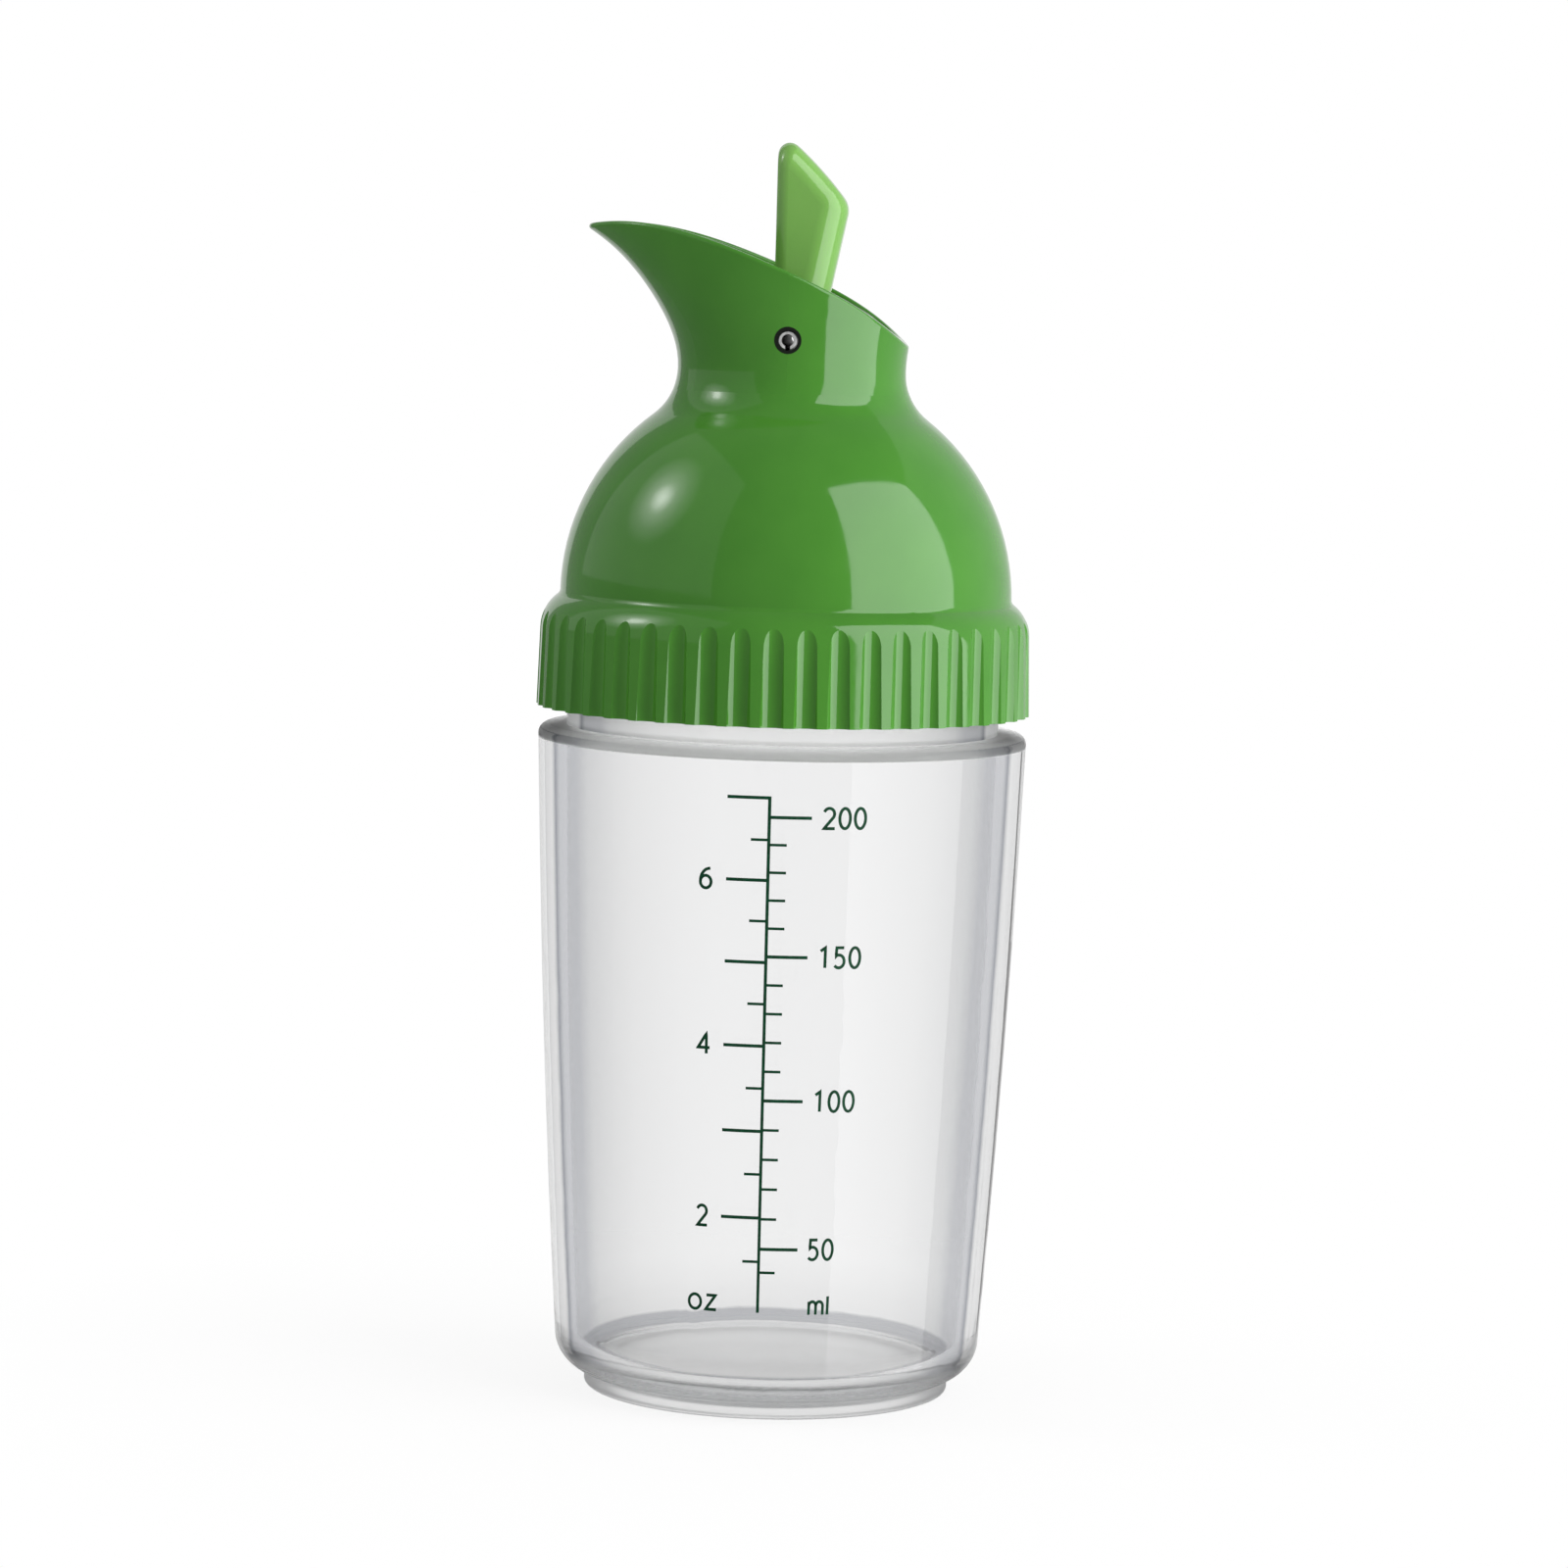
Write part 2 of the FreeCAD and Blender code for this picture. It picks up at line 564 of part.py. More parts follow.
def make_seal_retainer():
    """Round plate with a spigot inside the valve seal, pushed on the post of the lever."""
    radius = on_sphere(SEAT_RADIUS, RETAINER_BOTTOM_DROP).x - RETAINER_SWING_CLEARANCE
    plate = disc(radius, SEAL_BOTTOM_DROP, RETAINER_BOTTOM_DROP)
    spigot = disc(seal_bore(), SEAL_TOP_DROP, SEAL_BOTTOM_DROP)
    return plate.fuse(spigot).cut(disc(POST_RADIUS, SEAL_TOP_DROP, RETAINER_BOTTOM_DROP))


PIECES = {
    "tumbler": make_tumbler,
    "rim_gasket": make_rim_gasket,
    "cap": make_cap,
    "hinge_pin": make_hinge_pin,
    "lever": make_lever,
    "valve_seal": make_valve_seal,
    "seal_retainer": make_seal_retainer,
}

os.makedirs("parts", exist_ok=True)
for node, make in PIECES.items():
    shape = make().removeSplitter()
    print(node, "valid" if shape.isValid() else "not valid", len(shape.Solids), round(shape.Volume, 1))
    shape.exportStep("parts/" + node + ".step")
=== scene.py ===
import math

import bmesh
import bpy
from mathutils import Matrix, Vector
from mathutils.bvhtree import BVHTree


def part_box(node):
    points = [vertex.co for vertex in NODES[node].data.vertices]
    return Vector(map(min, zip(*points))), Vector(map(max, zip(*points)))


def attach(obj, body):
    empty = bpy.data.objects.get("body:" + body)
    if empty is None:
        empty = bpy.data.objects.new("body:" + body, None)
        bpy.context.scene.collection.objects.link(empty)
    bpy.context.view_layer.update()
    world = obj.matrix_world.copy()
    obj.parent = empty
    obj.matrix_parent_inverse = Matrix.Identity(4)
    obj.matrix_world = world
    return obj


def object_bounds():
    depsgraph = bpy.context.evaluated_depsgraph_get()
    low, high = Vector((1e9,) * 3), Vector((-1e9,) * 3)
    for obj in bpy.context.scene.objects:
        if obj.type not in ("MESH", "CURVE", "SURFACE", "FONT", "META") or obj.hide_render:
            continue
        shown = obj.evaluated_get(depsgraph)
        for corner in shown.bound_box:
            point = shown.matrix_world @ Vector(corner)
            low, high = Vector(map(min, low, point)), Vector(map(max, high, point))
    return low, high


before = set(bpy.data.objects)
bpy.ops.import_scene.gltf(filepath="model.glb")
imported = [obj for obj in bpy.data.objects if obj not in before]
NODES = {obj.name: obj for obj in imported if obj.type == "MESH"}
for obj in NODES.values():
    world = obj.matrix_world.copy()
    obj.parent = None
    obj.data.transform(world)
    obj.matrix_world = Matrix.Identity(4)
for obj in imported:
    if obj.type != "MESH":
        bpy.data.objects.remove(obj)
CAD_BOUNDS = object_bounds()
MM = 0.001
UP = Vector((0, 0, 1))

# Camera, fitted to the photograph: distance from the axis, height, turn about the axis, pitch and roll
CAMERA_DISTANCE = 0.7829
CAMERA_HEIGHT = 0.1582
CAMERA_TURN = math.radians(2.4)
CAMERA_PITCH = 0.0929
CAMERA_ROLL = 0.0267
CAMERA_LENS_MM = 128.7
CAMERA_SHIFT_X = 0.002
CAMERA_CLIP_START = 0.01

# Floor and white surround, in metres, with the level of the surround as fill light and in gloss
FLOOR_RADIUS = 0.14
FLOOR_SIDES = 96
FLOOR_DROP = 0.0001
FLOOR_COLOUR = (0.86, 0.86, 0.86, 1)
FLOOR_ROUGHNESS = 0.9
SHADOW_RADII = (0.03, 0.13)
SHADOW_GLOW = 0.86
FILL_LEVEL = 0.5
GLOSS_LEVEL = 0.3

# Panels: azimuths in degrees and distances of the upright edges, lowest and highest points, radiance
PANELS = {
    "softbox": (((35, 0.75), (96, 1.2)), (-0.45, 1.28), 3.5),
    "right_panel": (((97, 1.2), (165, 1.2)), (-0.45, 1.3), 0.36),
    "left_panel": (((-125, 1.2), (-35, 1.0)), (0.15, 1.7), 0.3),
    "back_panel": (((165, 1.2), (212, 1.2)), (-0.45, 1.3), 0.5),
}

# Dish on the left, with the fall of its radiance from the middle to the rim
DISH_AZIMUTH = math.radians(-85)
DISH_ELEVATION = math.radians(37)
DISH_DISTANCE = 1.0
DISH_AIM_HEIGHT = 0.115
DISH_RADIUS = 0.34
DISH_RADIANCE = 10.0
DISH_FALLOFF = ((0.0, 1.0), (0.15, 0.75), (0.35, 0.27), (0.65, 0.1), (1.0, 0.0))

# Marks of the scale: base value, its height in millimetres, rise per unit and slackening of the rise
ML_MARKS = (50, 24.66, 0.418, 0.000155)
OZ_MARKS = (2, 28.98, 12.11, 0.132)
ML_TICKS = range(50, 201, 10)
ML_NUMBER_STEP = 50
OZ_HALF_TICKS = range(3, 14)
OZ_LONG_STEP = 2
OZ_NUMBER_STEP = 4

# Places and sizes of the print, in millimetres, with advances in heights of a digit
SCALE_TOP = 86.5
SCALE_BOTTOM = 15.8
LOWEST_ML_TICK = 21.4
PRINT_RADIUS = 34.0
LINE_WIDTH = 0.45
SHORT_WIDTH = 0.37
LONG_TICK = 5.75
SHORT_TICK = 2.45
DIGIT_HEIGHT = 2.75
DIGIT_ADVANCE = 0.79
STROKE_WIDTH = 0.42
ML_NUMBER_START = 7.35
OZ_NUMBER_START = -9.45
ML_UNIT_START = 7.65
ML_UNIT_HEIGHT = 17.0
OZ_UNIT_START = -10.7
OZ_UNIT_HEIGHT = 17.3
UNIT_ADVANCE = 0.98
INK_LIFT = 0.006
INK_THICKNESS = 0.03
INK_STEP = 0.35
SAME_POINT = 1e-6

# Drawing of strokes: least share at a mitre, steps of an arc, and the start of a cast at the wall in metres
MITRE_LIMIT = 0.5
ARC_STEP_DEGREES = 15
ARC_LEAST_STEPS = 4
CAST_DISTANCE = 2 * CAD_BOUNDS[1].x

# Noises: scale per metre, octaves and, where they are drawn out, the squeeze along each axis
GREEN_CLOUDS = (70, 4)
GREEN_GRAIN = (500, 3)
ORANGE_PEEL = (240, 2)
HANDLING_MARKS = (160, 5)
MOULD_RIPPLE = (45, 1, (1, 1, 0.25))
SILICONE_MOTTLE = (220, 3)
SILICONE_GRAIN = (900, 2)
STEEL_STREAKS = (2500, 3, (1, 0.05, 1))
INK_COAT = (1800, 3)
INK_GRAIN = (2600, 2)
NOISE_SPAN = (0.3, 0.7)
MARKS_SPAN = (0.4, 0.8)

# Moulded greens: two shades, range of roughness and relief in metres
CAP_FINISH = ((0.041, 0.176, 0.015), (0.053, 0.205, 0.02), (0.05, 0.1), 0.000012)
LEVER_FINISH = ((0.135, 0.318, 0.06), (0.16, 0.355, 0.074), (0.09, 0.16), 0.00001)
GREEN_IOR = 1.5

# Light under the skin: its share, its reach by colour and its depth in metres
GREEN_SCATTER = (0.06, (0.4, 1.0, 0.2), 0.0012)
SILICONE_SCATTER = (0.3, (1.0, 1.0, 1.0), 0.0015)

# Silicone, steel and ink: two shades and range of roughness, the steel's relief in metres, the ink's shine
SILICONE_SHADES = ((0.74, 0.75, 0.72), (0.84, 0.85, 0.82))
SILICONE_ROUGHNESS = (0.42, 0.6)
STEEL_SHADES = (0.8, 0.98)
STEEL_ROUGHNESS = (0.36, 0.5)
STEEL_RELIEF = 0.000004
INK_SHADES = ((0.0008, 0.026, 0.009), (0.0015, 0.05, 0.02))
INK_ROUGHNESS = (0.4, 0.6)
INK_SPECULAR = 0.15

# Pin: height and radius in metres, then painted shade on its end and in its hole by distance in pin radii
PIN_LOW, PIN_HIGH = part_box("hinge_pin")
PIN_Z = (PIN_LOW[2] + PIN_HIGH[2]) / 2
PIN_RADIUS = PIN_HIGH[2] - PIN_Z
# Painted shade on the pin's end: a dark bore in the middle and a dim ring at the edge, 1 being the steel's
# own shade
PIN_END_PAINTED_SHADE = ((0.58, 0.04), (0.64, 1.0), (0.86, 1.0), (0.92, 0.25))
# Painted shade around the pin hole: the green falls to near black out to about 1.32 pin radii
HOLE_REACH = 2
HOLE_SHADE = ((0.66, 0.03), (0.7, 1.0))

# Clear plastic: painted shade by the slant at which light passes the outer wall, with grey bands and a dark
# line near its edges
WALL_PAINTED_SHADE = (
    (0.04, 0.95),
    (0.21, 0.86),
    (0.4, (0.66, 0.665, 0.675)),
    (0.47, (0.45, 0.46, 0.49)),
    (0.6, (0.42, 0.43, 0.46)),
    (0.64, (0.13, 0.14, 0.17)),
    (0.68, 0.8),
    (1.0, 0.7),
)

# Clear plastic all over: bending of light, grey of its depth, ripple in metres and handling marks
CLEAR_IOR = 1.26
DEPTH_COLOUR = (0.52, 0.54, 0.56, 1)
DEPTH_DENSITY = 12
RIPPLE_RELIEF = 0.00002
MARKS_ROUGHNESS = 0.02

# Clear plastic by place, in metres: outer wall, base, painted shade in the corner of the inner floor, foot
# and shoulder
OUTER_WALL_RANGE = (0.024, 0.0285)
BASE_RANGE = (0.006, 0.014)
BASE_TINT = ((0.0, 0.91), (1.0, 1.0))
# Painted shade in the corner of the inner floor: its grey and where it lies
CORNER_PAINTED_SHADE_GREY = (0.4, 0.41, 0.44)
CORNER_RADII = (0.0272, 0.0275)
CORNER_RANGE = (0.0048, 0.0088)
CORNER_PAINTED_SHADE = ((0.0, 1.0), (0.03, CORNER_PAINTED_SHADE_GREY), (0.33, CORNER_PAINTED_SHADE_GREY), (0.42, 1.0))
FOOT_RANGE = (0.003, 0.009)
FOOT_ROUGHNESS = 0.3
SHOULDER_RANGE = (0.0908, 0.0948)
SHOULDER_ROUGHNESS = ((0.12, 0.0), (0.25, 0.9), (0.65, 0.9), (0.75, 0.45))

# Places of the colour sockets on a Mix node
MIX_FIRST, MIX_SECOND, MIX_RESULT = 6, 7, 2


def ellipse(cx, cy, rx, ry, start, end):
    """Points of an elliptic arc between two angles in degrees."""
    steps = max(ARC_LEAST_STEPS, round(abs(end - start) / ARC_STEP_DEGREES))
    turns = [math.radians(start + (end - start) * i / steps) for i in range(steps + 1)]
    return [(cx + rx * math.cos(t), cy + ry * math.sin(t)) for t in turns]


# Strokes of each sign on a cell of height 1, drawn for this scale
CELL_MIDDLE = 0.5
GLYPHS = {
    "0": [ellipse(0.29, 0.5, 0.27, 0.5, 90, 450)],
    "1": [[(0.08, 0.83), (0.32, 1.0), (0.32, 0.0)]],
    "2": [ellipse(0.28, 0.72, 0.26, 0.28, 160, -38) + [(0.03, 0.0), (0.57, 0.0)]],
    "4": [[(0.44, 0.0), (0.44, 1.0), (0.0, 0.3), (0.62, 0.3)]],
    "5": [[(0.5, 1.0), (0.12, 1.0), (0.09, 0.56)] + ellipse(0.24, 0.32, 0.28, 0.32, 115, -140)],
    "6": [ellipse(0.3, 0.31, 0.28, 0.31, 90, 450), ellipse(0.52, 0.34, 0.5, 0.64, 88, 180)],
    "o": [ellipse(0.36, 0.36, 0.34, 0.37, 90, 450)],
    "z": [[(0.05, 0.72), (0.56, 0.72), (0.0, 0.0), (0.6, 0.0)]],
    "m": [
        [(0.05, 0.0), (0.05, 0.66)],
        [(0.05, 0.44)] + ellipse(0.245, 0.44, 0.195, 0.22, 180, 0) + [(0.44, 0.0)],
        [(0.44, 0.44)] + ellipse(0.635, 0.44, 0.195, 0.22, 180, 0) + [(0.83, 0.0)],
    ],
    "l": [[(0.12, 0.0), (0.12, 0.92)]],
}


def bearing(angle):
    """Level direction at an angle in radians from -Y, turning towards +X."""
    return Vector((math.sin(angle), -math.cos(angle), 0))


def new_material(name):
    """Material with an output and one Principled shader."""
    material = bpy.data.materials.new(name)
    material.use_nodes = True
    tree = material.node_tree
    return material, tree, tree.nodes["Principled BSDF"]


def part_place(tree, shift=(0, 0, 0), stretch=(1, 1, 1)):
    """Place on the part in metres, shifted and then stretched along the axes."""
    place = tree.nodes.new("ShaderNodeTexCoord")
    mapping = tree.nodes.new("ShaderNodeMapping")
    mapping.inputs["Location"].default_value = [a * b for a, b in zip(shift, stretch)]
    mapping.inputs["Scale"].default_value = stretch
    tree.links.new(place.outputs["Object"], mapping.inputs["Vector"])
    return mapping.outputs["Vector"]


def noise(tree, scale, detail, stretch=(1, 1, 1)):
    """Noise on the part; stretch squeezes it along an axis."""
    texture = tree.nodes.new("ShaderNodeTexNoise")
    texture.inputs["Scale"].default_value = scale
    texture.inputs["Detail"].default_value = detail
    tree.links.new(part_place(tree, stretch=stretch), texture.inputs["Vector"])
    return texture.outputs["Fac"]


def spread(tree, value, start, end, low, high):
    """Value carried from the range start to end over to the range low to high."""
    node = tree.nodes.new("ShaderNodeMapRange")
    node.inputs["From Min"].default_value = start
    node.inputs["From Max"].default_value = end
    node.inputs["To Min"].default_value = low
    node.inputs["To Max"].default_value = high
    tree.links.new(value, node.inputs["Value"])
    return node.outputs["Result"]


def math_node(tree, operation, first, second):
    """Sum, product or greater of two values."""
    node = tree.nodes.new("ShaderNodeMath")
    node.operation = operation
    tree.links.new(first, node.inputs[0])
    tree.links.new(second, node.inputs[1])
    return node.outputs["Value"]


def length(tree, vector):
    """Length of a vector."""
    node = tree.nodes.new("ShaderNodeVectorMath")
    node.operation = "LENGTH"
    tree.links.new(vector, node.inputs[0])
    return node.outputs["Value"]


def ramp(tree, value, stops):
    """Colour ramp through stops, each a position and a colour or a grey level."""
    node = tree.nodes.new("ShaderNodeValToRGB")
    elements = node.color_ramp.elements
    while len(elements) < len(stops):
        elements.new(1.0)
    for element, (position, colour) in zip(elements, stops):
        element.position = position
        element.color = (*colour, 1) if isinstance(colour, tuple) else (colour, colour, colour, 1)
    tree.links.new(value, node.inputs["Fac"])
    return node.outputs["Color"]


def shaded(tree, grain, low, high):
    """Colour that wanders between two shades with a noise."""
    start, end = NOISE_SPAN
    return ramp(tree, grain, ((start, low), (end, high)))


def multiplied(tree, first, second):
    """Product of two colours."""
    node = tree.nodes.new("ShaderNodeMix")
    node.data_type = "RGBA"
    node.blend_type = "MULTIPLY"
    node.inputs["Factor"].default_value = 1.0
    tree.links.new(first, node.inputs[MIX_FIRST])
    tree.links.new(second, node.inputs[MIX_SECOND])
    return node.outputs[MIX_RESULT]


def pin_distance(tree):
    """Distance from the axis of the pin, in pin radii."""
    return length(tree, part_place(tree, (0, 0, -PIN_Z), (1 / PIN_RADIUS, 0, 1 / PIN_RADIUS)))


def add_bump(tree, shader, height_map, height):
    """Relief of the given height in metres."""
    bump = tree.nodes.new("ShaderNodeBump")
    bump.inputs["Distance"].default_value = height
    tree.links.new(height_map, bump.inputs["Height"])
    tree.links.new(bump.outputs["Normal"], shader.inputs["Normal"])


def add_scatter(shader, share, reach, depth):
    """Light that passes a short way under the skin."""
    shader.inputs["Subsurface Weight"].default_value = share
    shader.inputs["Subsurface Radius"].default_value = reach
    shader.inputs["Subsurface Scale"].default_value = depth


def moulded_green(name, low, high, gloss, peel):
    """Glossy moulded plastic with faint clouds, uneven gloss, slight orange peel and painted shade around
    the pin hole.
    """
    material, tree, shader = new_material(name)
    clouds = shaded(tree, noise(tree, *GREEN_CLOUDS), low, high)
    # Painted shade: the green is darkened around the pin hole by distance from the pin's axis
    hole_painted_shade = ramp(tree, spread(tree, pin_distance(tree), 0, HOLE_REACH, 0, 1), HOLE_SHADE)
    tree.links.new(multiplied(tree, clouds, hole_painted_shade), shader.inputs["Base Color"])
    roughness = spread(tree, noise(tree, *GREEN_GRAIN), *NOISE_SPAN, *gloss)
    tree.links.new(roughness, shader.inputs["Roughness"])
    add_bump(tree, shader, noise(tree, *ORANGE_PEEL), peel)
    shader.inputs["IOR"].default_value = GREEN_IOR
    add_scatter(shader, *GREEN_SCATTER)
    return material


def outer_wall(tree):
    """1 on upright walls that face away from the axis of the bottle and 0 on other surfaces."""
    facing = tree.nodes.new("ShaderNodeVectorMath")
    facing.operation = "DOT_PRODUCT"
    tree.links.new(part_place(tree, stretch=(1, 1, 0)), facing.inputs[0])
    tree.links.new(tree.nodes.new("ShaderNodeNewGeometry").outputs["Normal"], facing.inputs[1])
    return spread(tree, facing.outputs["Value"], *OUTER_WALL_RANGE, 0, 1)


def floor_corner(tree, height):
    """Painted shade: grey on the rounded corner between the inner floor and wall, standing in for the dark
    it refracts.
    """
    axis_distance = length(tree, part_place(tree, stretch=(1, 1, 0)))
    outside = spread(tree, axis_distance, *CORNER_RADII, 0, 1)
    level = math_node(tree, "MAXIMUM", spread(tree, height, *CORNER_RANGE, 0, 1), outside)
    # Painted shade: grey on the inner floor's rounded corner, by height and distance from the axis
    return ramp(tree, level, CORNER_PAINTED_SHADE)


def clear_tint(tree, height):
    """Painted shade by slant on the outer wall and in the corner of the inner floor, and greyer towards the
    base.
    """
    slant = tree.nodes.new("ShaderNodeLayerWeight").outputs["Facing"]
    # Painted shade: grey bands and a dark line near the outer wall's edges stand in for the dark the wall
    # refracts, besides some grey of the longer path at a slant
    wall = ramp(tree, math_node(tree, "MULTIPLY", slant, outer_wall(tree)), WALL_PAINTED_SHADE)
    base = ramp(tree, spread(tree, height, *BASE_RANGE, 0, 1), BASE_TINT)
    return multiplied(tree, wall, multiplied(tree, base, floor_corner(tree, height)))


def clear_roughness(tree, height):
    """Polish with faint handling marks, a matt foot and a matt shoulder."""
    marks = spread(tree, noise(tree, *HANDLING_MARKS), *MARKS_SPAN, 0, MARKS_ROUGHNESS)
    foot = spread(tree, height, *FOOT_RANGE, FOOT_ROUGHNESS, 0)
    shoulder = ramp(tree, spread(tree, height, *SHOULDER_RANGE, 0, 1), SHOULDER_ROUGHNESS)
    return math_node(tree, "ADD", marks, math_node(tree, "ADD", foot, shoulder))


def clear_plastic():
    """Clear plastic, grey in its depth, with a faint ripple from the mould."""
    material, tree, shader = new_material("clear_plastic")
    place = tree.nodes.new("ShaderNodeSeparateXYZ")
    tree.links.new(part_place(tree), place.inputs["Vector"])
    height = place.outputs["Z"]
    tree.links.new(clear_tint(tree, height), shader.inputs["Base Color"])
    tree.links.new(clear_roughness(tree, height), shader.inputs["Roughness"])
    shader.inputs["Transmission Weight"].default_value = 1.0
    shader.inputs["IOR"].default_value = CLEAR_IOR
    add_bump(tree, shader, noise(tree, *MOULD_RIPPLE), RIPPLE_RELIEF)
    depth = tree.nodes.new("ShaderNodeVolumeAbsorption")
    depth.inputs["Color"].default_value = DEPTH_COLOUR
    depth.inputs["Density"].default_value = DEPTH_DENSITY
    tree.links.new(depth.outputs["Volume"], tree.nodes["Material Output"].inputs["Volume"])
    return material


def silicone():
    """Milky silicone with a matt, slightly mottled skin."""
    material, tree, shader = new_material("silicone")
    mottle = shaded(tree, noise(tree, *SILICONE_MOTTLE), *SILICONE_SHADES)
    tree.links.new(mottle, shader.inputs["Base Color"])
    roughness = spread(tree, noise(tree, *SILICONE_GRAIN), *NOISE_SPAN, *SILICONE_ROUGHNESS)
    tree.links.new(roughness, shader.inputs["Roughness"])
    add_scatter(shader, *SILICONE_SCATTER)
    return material


def rolled_steel():
    """Bright rolled steel with fine streaks along the pin, and painted shade in a dark bore and on a dim
    edge.
    """
    material, tree, shader = new_material("steel")
    streaks = noise(tree, *STEEL_STREAKS)
    # Painted shade: dark bore and dim edge on the pin's end, by distance from its axis
    end_painted_shade = ramp(tree, pin_distance(tree), PIN_END_PAINTED_SHADE)
    colour = multiplied(tree, shaded(tree, streaks, *STEEL_SHADES), end_painted_shade)
    tree.links.new(colour, shader.inputs["Base Color"])
    tree.links.new(spread(tree, streaks, *NOISE_SPAN, *STEEL_ROUGHNESS), shader.inputs["Roughness"])
    add_bump(tree, shader, streaks, STEEL_RELIEF)
    shader.inputs["Metallic"].default_value = 1.0
    return material


def green_ink():
    """Dark green screen-print ink with a slightly uneven coat."""
    material, tree, shader = new_material("ink")
    coat = shaded(tree, noise(tree, *INK_COAT), *INK_SHADES)
    tree.links.new(coat, shader.inputs["Base Color"])
    roughness = spread(tree, noise(tree, *INK_GRAIN), *NOISE_SPAN, *INK_ROUGHNESS)
    tree.links.new(roughness, shader.inputs["Roughness"])
    shader.inputs["Specular IOR Level"].default_value = INK_SPECULAR
    return material


def dress(node, material):
    """Gives a CAD node its finish."""
    NODES[node].data.materials.clear()
    NODES[node].data.materials.append(material)


def mark_height(marks, value):
    """Height in millimetres of a mark of the scale."""
    base, base_z, rise, slack = marks
    return base_z + rise * (value - base) - slack * (value - base) ** 2


def resampled(points, closed):
    """Points along a stroke, with long runs divided so that they follow the round wall."""
    ring = points + points[:1] if closed else points
    out = [ring[0]]
    for (x0, y0), (x1, y1) in zip(ring, ring[1:]):
        parts = max(1, math.ceil(math.hypot(x1 - x0, y1 - y0) / INK_STEP))
        out += [(x0 + (x1 - x0) * i / parts, y0 + (y1 - y0) * i / parts) for i in range(1, parts + 1)]
    return out[:-1] if closed else out


def ribbon_sides(points, width, closed):
    """Left and right edge points of a stroke, mitred where it bends."""
    spots = [Vector(point) for point in points]
    goes = [(b - a).normalized() for a, b in zip(spots, spots[1:] + spots[:1])]
    if not closed:
        goes[-1] = goes[-2]
    came = [goes[-1] if closed else goes[0]] + goes[:-1]
    left, right = [], []
    for spot, before, after in zip(spots, came, goes):
        mitre = (before + after).normalized().orthogonal()
        reach = mitre * width / 2 / max(MITRE_LIMIT, mitre.dot(after.orthogonal()))
        left.append(spot + reach)
        right.append(spot - reach)
    return left, right


def wall_point(wall, across, z, lift):
    """Point off the tumbler's wall, at a distance across from the line and a height in millimetres."""
    outward = bearing(across / PRINT_RADIUS)
    start = outward * CAST_DISTANCE + UP * z * MM
    return wall.ray_cast(start, -outward)[0] + outward * lift * MM


def add_ribbon(mesh, wall, points, width):
    """Adds a stroke to the print as a thin closed slab that follows the wall."""
    closed = len(points) > 2 and math.dist(points[0], points[-1]) < SAME_POINT
    points = resampled(points[:-1] if closed else points, closed)
    rails = []
    for side in ribbon_sides(points, width, closed):
        for lift in (INK_LIFT, INK_LIFT + INK_THICKNESS):
            rails.append([mesh.verts.new(wall_point(wall, x, z, lift)) for x, z in side])
    left_low, left_high, right_low, right_high = rails
    loop = (left_high, right_high, right_low, left_low)
    count = len(points)
    for i in range(count if closed else count - 1):
        j = (i + 1) % count
        for a, b in zip(loop, loop[1:] + loop[:1]):
            mesh.faces.new((a[i], b[i], b[j], a[j]))
    if not closed:
        mesh.faces.new([rail[0] for rail in reversed(loop)])
        mesh.faces.new([rail[-1] for rail in loop])


def add_label(mesh, wall, text, x, z, advance):
    """Adds a word or number with its left end at x and its middle at z."""
    for sign in text:
        for stroke in GLYPHS[sign]:
            points = [(x + px * DIGIT_HEIGHT, z + (py - CELL_MIDDLE) * DIGIT_HEIGHT) for px, py in stroke]
            add_ribbon(mesh, wall, points, STROKE_WIDTH)
        x += advance * DIGIT_HEIGHT


def add_tick(mesh, wall, side, z, long):
    """Adds a tick beside the line: side is 1 for the right and -1 for the left."""
    reach, width = (LONG_TICK, LINE_WIDTH) if long else (SHORT_TICK, SHORT_WIDTH)
    add_ribbon(mesh, wall, [(side * LINE_WIDTH / 2, z), (side * reach, z)], width)


def add_ml_marks(mesh, wall):
    """Adds the millilitre ticks and numbers on the right of the line."""
    add_tick(mesh, wall, 1, LOWEST_ML_TICK, False)
    for value in ML_TICKS:
        z = mark_height(ML_MARKS, value)
        numbered = value % ML_NUMBER_STEP == 0
        add_tick(mesh, wall, 1, z, numbered)
        if numbered:
            add_label(mesh, wall, str(value), ML_NUMBER_START, z, DIGIT_ADVANCE)


def add_oz_marks(mesh, wall):
    """Adds the ounce ticks and numbers on the left of the line, counted in half ounces."""
    for half in OZ_HALF_TICKS:
        z = mark_height(OZ_MARKS, half / 2)
        add_tick(mesh, wall, -1, z, half % OZ_LONG_STEP == 0)
        if half % OZ_NUMBER_STEP == 0:
            add_label(mesh, wall, str(half // 2), OZ_NUMBER_START, z, DIGIT_ADVANCE)


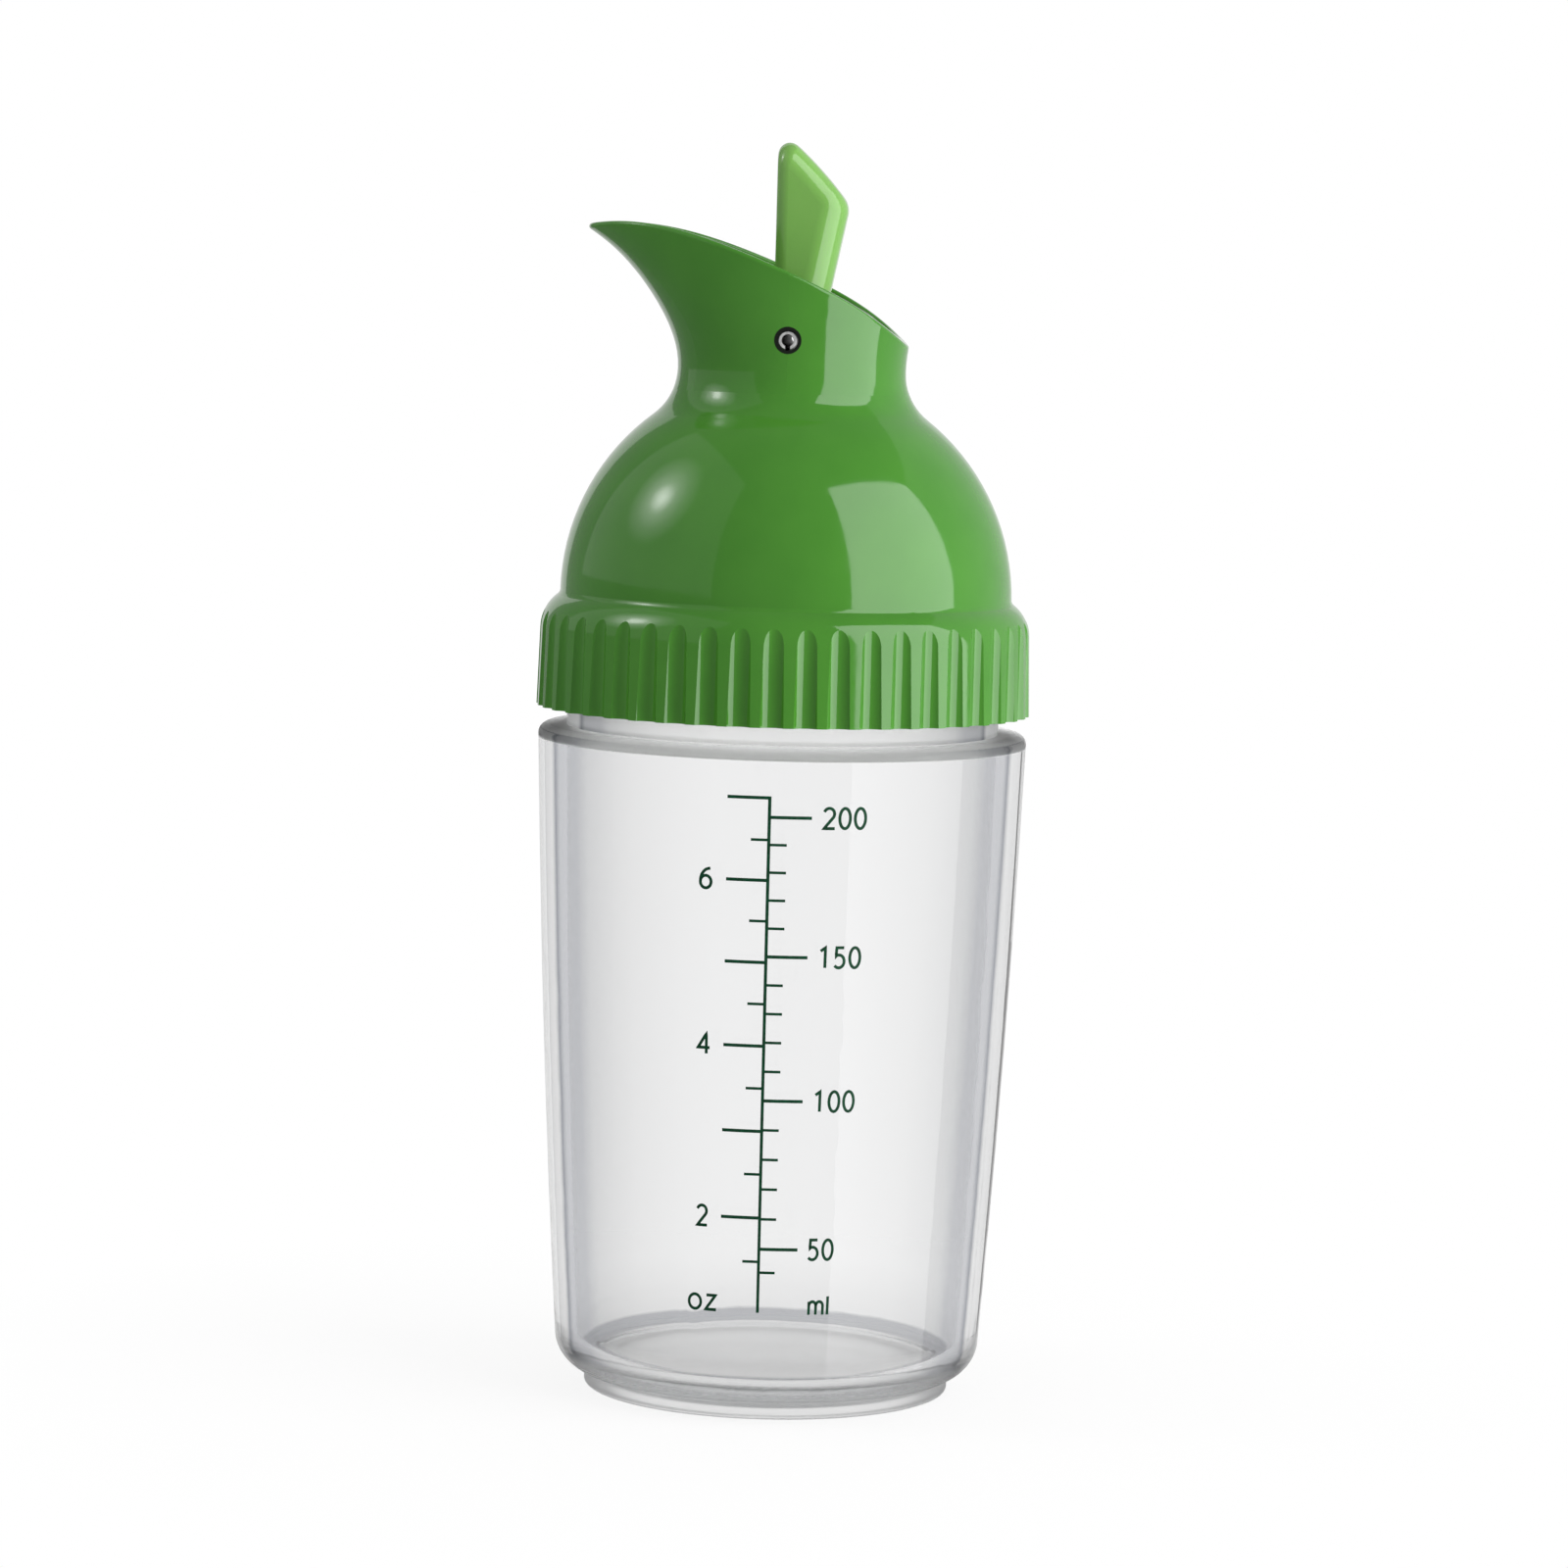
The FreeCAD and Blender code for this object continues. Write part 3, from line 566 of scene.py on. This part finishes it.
def printed_scale(material):
    """The measuring scale: one line with millilitre marks on its right and ounce marks on its left."""
    source = NODES["tumbler"].data
    faces = [tuple(face.vertices) for face in source.polygons]
    wall = BVHTree.FromPolygons([vertex.co for vertex in source.vertices], faces)
    mesh = bmesh.new()
    add_ribbon(mesh, wall, [(-LONG_TICK, SCALE_TOP), (0, SCALE_TOP), (0, SCALE_BOTTOM)], LINE_WIDTH)
    add_ml_marks(mesh, wall)
    add_oz_marks(mesh, wall)
    add_label(mesh, wall, "oz", OZ_UNIT_START, OZ_UNIT_HEIGHT, UNIT_ADVANCE)
    add_label(mesh, wall, "ml", ML_UNIT_START, ML_UNIT_HEIGHT, UNIT_ADVANCE)
    bmesh.ops.recalc_face_normals(mesh, faces=mesh.faces)
    data = bpy.data.meshes.new("measuring_scale")
    mesh.to_mesh(data)
    mesh.free()
    data.materials.append(material)
    piece = bpy.data.objects.new("measuring_scale", data)
    bpy.context.scene.collection.objects.link(piece)
    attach(piece, "tumbler")


def ray_level(tree, other):
    """Level 1 for the camera, also through clear plastic, the gloss level in gloss, else the other one."""
    path = tree.nodes.new("ShaderNodeLightPath").outputs
    direct = math_node(tree, "MAXIMUM", path["Is Camera Ray"], path["Is Transmission Ray"])
    level = spread(tree, direct, 0, 1, other, 1)
    in_gloss = spread(tree, path["Is Glossy Ray"], 0, 1, other, GLOSS_LEVEL)
    tree.links.new(in_gloss, level.node.inputs["To Min"])
    return level


def floor_material():
    """Pale matt floor that glows white away from the bottle and keeps its shadow close to it."""
    material, tree, shader = new_material("floor")
    shader.inputs["Base Color"].default_value = FLOOR_COLOUR
    shader.inputs["Roughness"].default_value = FLOOR_ROUGHNESS
    shader.inputs["Specular IOR Level"].default_value = 0.0
    glow_share = spread(tree, length(tree, part_place(tree)), *SHADOW_RADII, SHADOW_GLOW, 1)
    glow = tree.nodes.new("ShaderNodeEmission")
    mix = tree.nodes.new("ShaderNodeMixShader")
    tree.links.new(math_node(tree, "MULTIPLY", ray_level(tree, 0), glow_share), mix.inputs["Fac"])
    tree.links.new(shader.outputs["BSDF"], mix.inputs[1])
    tree.links.new(glow.outputs["Emission"], mix.inputs[2])
    tree.links.new(mix.outputs["Shader"], tree.nodes["Material Output"].inputs["Surface"])
    return material


def white_floor():
    """Pale floor that meets the white background and isn't mirrored in the bottle."""
    place = UP * -FLOOR_DROP
    bpy.ops.mesh.primitive_circle_add(
        vertices=FLOOR_SIDES, radius=FLOOR_RADIUS, fill_type="NGON", location=place)
    floor = bpy.context.object
    floor.name = "floor"
    floor.data.materials.append(floor_material())
    floor.visible_glossy = False


def white_world():
    """White surround that is dimmer in gloss and only a soft fill as light on the bottle."""
    world = bpy.data.worlds.new("studio")
    bpy.context.scene.world = world
    world.use_nodes = True
    tree = world.node_tree
    background = tree.nodes["Background"]
    background.inputs["Color"].default_value = (1, 1, 1, 1)
    tree.links.new(ray_level(tree, FILL_LEVEL), background.inputs["Strength"])


def area_light(name, place, towards, size, radiance):
    """Area light of a given radiance that faces in a direction and isn't seen through clear plastic."""
    light = bpy.data.lights.new(name, "AREA")
    light.shape = "RECTANGLE"
    light.size, light.size_y = size
    light.energy = radiance * math.pi * light.size * light.size_y
    lamp = bpy.data.objects.new(name, light)
    lamp.location = place
    lamp.rotation_euler = towards.to_track_quat("-Z", "Y").to_euler()
    lamp.visible_transmission = False
    bpy.context.scene.collection.objects.link(lamp)
    return light


def upright_panel(name, edges, heights, radiance):
    """Upright panel of light that faces the bottle, between two edges in order of their azimuths."""
    first, last = (bearing(math.radians(azimuth)) * distance for azimuth, distance in edges)
    bottom, top = heights
    place = (first + last) / 2 + UP * (bottom + top) / 2
    area_light(name, place, UP.cross(last - first), ((last - first).length, top - bottom), radiance)


def dish():
    """Round dish on the left that falls off from a bright middle."""
    towards = bearing(DISH_AZIMUTH) * math.cos(DISH_ELEVATION) + UP * math.sin(DISH_ELEVATION)
    place = UP * DISH_AIM_HEIGHT + towards * DISH_DISTANCE
    light = area_light("dish", place, -towards, (2 * DISH_RADIUS, 2 * DISH_RADIUS), DISH_RADIANCE)
    light.use_nodes = True
    tree = light.node_tree
    distance = tree.nodes.new("ShaderNodeVectorMath")
    distance.operation = "DISTANCE"
    distance.inputs[1].default_value = place
    tree.links.new(tree.nodes.new("ShaderNodeNewGeometry").outputs["Position"], distance.inputs[0])
    share = spread(tree, distance.outputs["Value"], 0, DISH_RADIUS, 0, 1)
    tree.links.new(ramp(tree, share, DISH_FALLOFF), tree.nodes["Emission"].inputs["Strength"])


def photo_camera():
    """Camera at the photograph's place and angle."""
    data = bpy.data.cameras.new("camera")
    data.lens = CAMERA_LENS_MM
    data.shift_x = CAMERA_SHIFT_X
    data.clip_start = CAMERA_CLIP_START
    camera = bpy.data.objects.new("camera", data)
    place = bearing(CAMERA_TURN) * CAMERA_DISTANCE + UP * CAMERA_HEIGHT
    turn = Matrix.Rotation(CAMERA_TURN, 4, "Z")
    pitch = Matrix.Rotation(math.pi / 2 - CAMERA_PITCH, 4, "X")
    roll = Matrix.Rotation(CAMERA_ROLL, 4, "Z")
    camera.matrix_world = Matrix.Translation(place) @ turn @ pitch @ roll
    bpy.context.scene.collection.objects.link(camera)
    bpy.context.scene.camera = camera


bpy.context.scene.view_settings.view_transform = "Standard"
cap_green = moulded_green("cap_green", *CAP_FINISH)
lever_green = moulded_green("lever_green", *LEVER_FINISH)
milky = silicone()
dress("tumbler", clear_plastic())
dress("cap", cap_green)
dress("lever", lever_green)
dress("seal_retainer", lever_green)
dress("rim_gasket", milky)
dress("valve_seal", milky)
dress("hinge_pin", rolled_steel())
printed_scale(green_ink())
white_floor()
white_world()
for panel, setting in PANELS.items():
    upright_panel(panel, *setting)
dish()
photo_camera()
